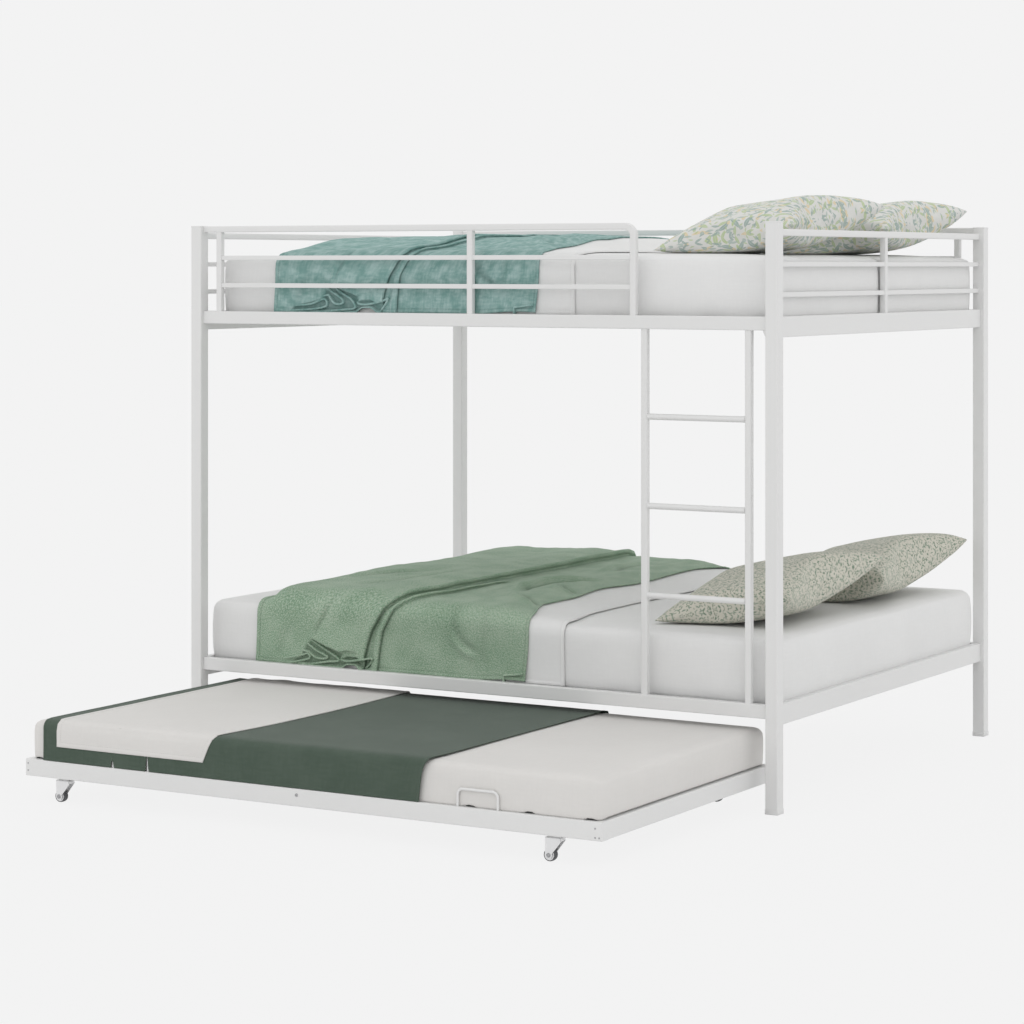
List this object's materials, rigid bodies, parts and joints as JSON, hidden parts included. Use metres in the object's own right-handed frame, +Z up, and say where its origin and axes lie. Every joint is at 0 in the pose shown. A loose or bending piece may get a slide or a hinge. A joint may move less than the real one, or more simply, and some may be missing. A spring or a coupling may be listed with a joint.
{
  "type": "metal bunk bed",
  "caption": "Metal bunk bed with two wide bunks, guard rails, a built-in ladder and a made-up pull-out trundle on casters.",
  "frame": {"origin": "on the floor, under the middle of the whole object with the trundle pulled out", "axes": "+X along the bed from its foot end to its head end (ladder end), +Y from the front with the trundle to the back, +Z up"},
  "size_m": [2.086, 2.536, 1.8032],
  "materials": {
    "powder_white": "white powder coat, satin",
    "foot_plastic": "pale moulded plastic",
    "caster_steel": "bright zinc plate",
    "wheel_grey": "grey moulded wheel",
    "linen_white": "white cotton",
    "linen_cream": "off-white cotton",
    "sage_weave": "sage green heathered weave",
    "teal_weave": "teal linen weave",
    "dark_green": "dark green plain weave",
    "leaf_print": "pale cotton with a small printed pattern",
    "speckle_print": "beige cotton with fine dark specks"
  },
  "bodies": {
    "bed_frame": {"duvet_lower": "linen_white", "duvet_upper": "linen_white", "end_rail_left_lower": "powder_white", "end_rail_left_upper": "powder_white", "end_rail_right_lower": "powder_white", "end_rail_right_upper": "powder_white", "foot_back_left": "foot_plastic", "foot_back_right": "foot_plastic", "foot_front_left": "foot_plastic", "foot_front_right": "foot_plastic", "guard_back_bar_lower": "powder_white", "guard_back_bar_upper": "powder_white", "guard_back_frame": "powder_white", "guard_front_bar_lower": "powder_white", "guard_front_bar_upper": "powder_white", "guard_front_frame": "powder_white", "guard_left_bar_lower": "powder_white", "guard_left_bar_upper": "powder_white", "guard_left_frame": "powder_white", "guard_right_bar_lower": "powder_white", "guard_right_bar_upper": "powder_white", "guard_right_frame": "powder_white", "ladder": "powder_white", "mattress_lower": "linen_white", "mattress_upper_back": "linen_white", "mattress_upper_front": "linen_white", "pillow_lower_back": "speckle_print", "pillow_lower_front": "speckle_print", "pillow_upper_back": "leaf_print", "pillow_upper_front": "leaf_print", "post_back_left": "powder_white", "post_back_right": "powder_white", "post_front_left": "powder_white", "post_front_right": "powder_white", "side_rail_back_lower": "powder_white", "side_rail_back_upper": "powder_white", "side_rail_front_lower": "powder_white", "side_rail_front_upper": "powder_white", "slat_deck_lower": "powder_white", "slat_deck_upper": "powder_white", "throw_lower": "sage_weave", "throw_upper": "teal_weave"},
    "trundle": {"mattress_trundle": "linen_cream", "trundle_blanket": "dark_green", "trundle_end_left": "powder_white", "trundle_end_right": "powder_white", "trundle_loop_left": "powder_white", "trundle_loop_right": "powder_white", "trundle_rail_back": "powder_white", "trundle_rail_front": "powder_white", "trundle_sheet": "linen_cream", "trundle_slats": "powder_white"},
    "swivel_front_left": {"caster_front_left_fork": "caster_steel"},
    "wheel_front_left": {"caster_front_left_wheel": "wheel_grey"},
    "swivel_front_right": {"caster_front_right_fork": "caster_steel"},
    "wheel_front_right": {"caster_front_right_wheel": "wheel_grey"},
    "swivel_back_left": {"caster_back_left_fork": "caster_steel"},
    "wheel_back_left": {"caster_back_left_wheel": "wheel_grey"},
    "swivel_back_right": {"caster_back_right_fork": "caster_steel"},
    "wheel_back_right": {"caster_back_right_wheel": "wheel_grey"}
  },
  "joints": [
    {"name": "trundle_slide", "type": "slide", "parent": "bed_frame", "child": "trundle", "axis": [0, 1, 0], "range_m": [0, 0.905]},
    {"name": "swivel_front_left_turn", "type": "hinge", "parent": "trundle", "child": "swivel_front_left", "pos_m": [-0.836, -1.249, 0.0655], "axis": [0, 0, 1], "continuous": true},
    {"name": "wheel_front_left_spin", "type": "hinge", "parent": "swivel_front_left", "child": "wheel_front_left", "pos_m": [-0.858, -1.249, 0.0175], "axis": [0, 1, 0], "continuous": true},
    {"name": "swivel_front_right_turn", "type": "hinge", "parent": "trundle", "child": "swivel_front_right", "pos_m": [0.818, -1.249, 0.0655], "axis": [0, 0, 1], "continuous": true},
    {"name": "wheel_front_right_spin", "type": "hinge", "parent": "swivel_front_right", "child": "wheel_front_right", "pos_m": [0.796, -1.249, 0.0175], "axis": [0, 1, 0], "continuous": true},
    {"name": "swivel_back_left_turn", "type": "hinge", "parent": "trundle", "child": "swivel_back_left", "pos_m": [-0.836, -0.267, 0.0655], "axis": [0, 0, 1], "continuous": true},
    {"name": "wheel_back_left_spin", "type": "hinge", "parent": "swivel_back_left", "child": "wheel_back_left", "pos_m": [-0.858, -0.267, 0.0175], "axis": [0, 1, 0], "continuous": true},
    {"name": "swivel_back_right_turn", "type": "hinge", "parent": "trundle", "child": "swivel_back_right", "pos_m": [0.818, -0.267, 0.0655], "axis": [0, 0, 1], "continuous": true},
    {"name": "wheel_back_right_spin", "type": "hinge", "parent": "swivel_back_right", "child": "wheel_back_right", "pos_m": [0.796, -0.267, 0.0175], "axis": [0, 1, 0], "continuous": true}
  ]
}
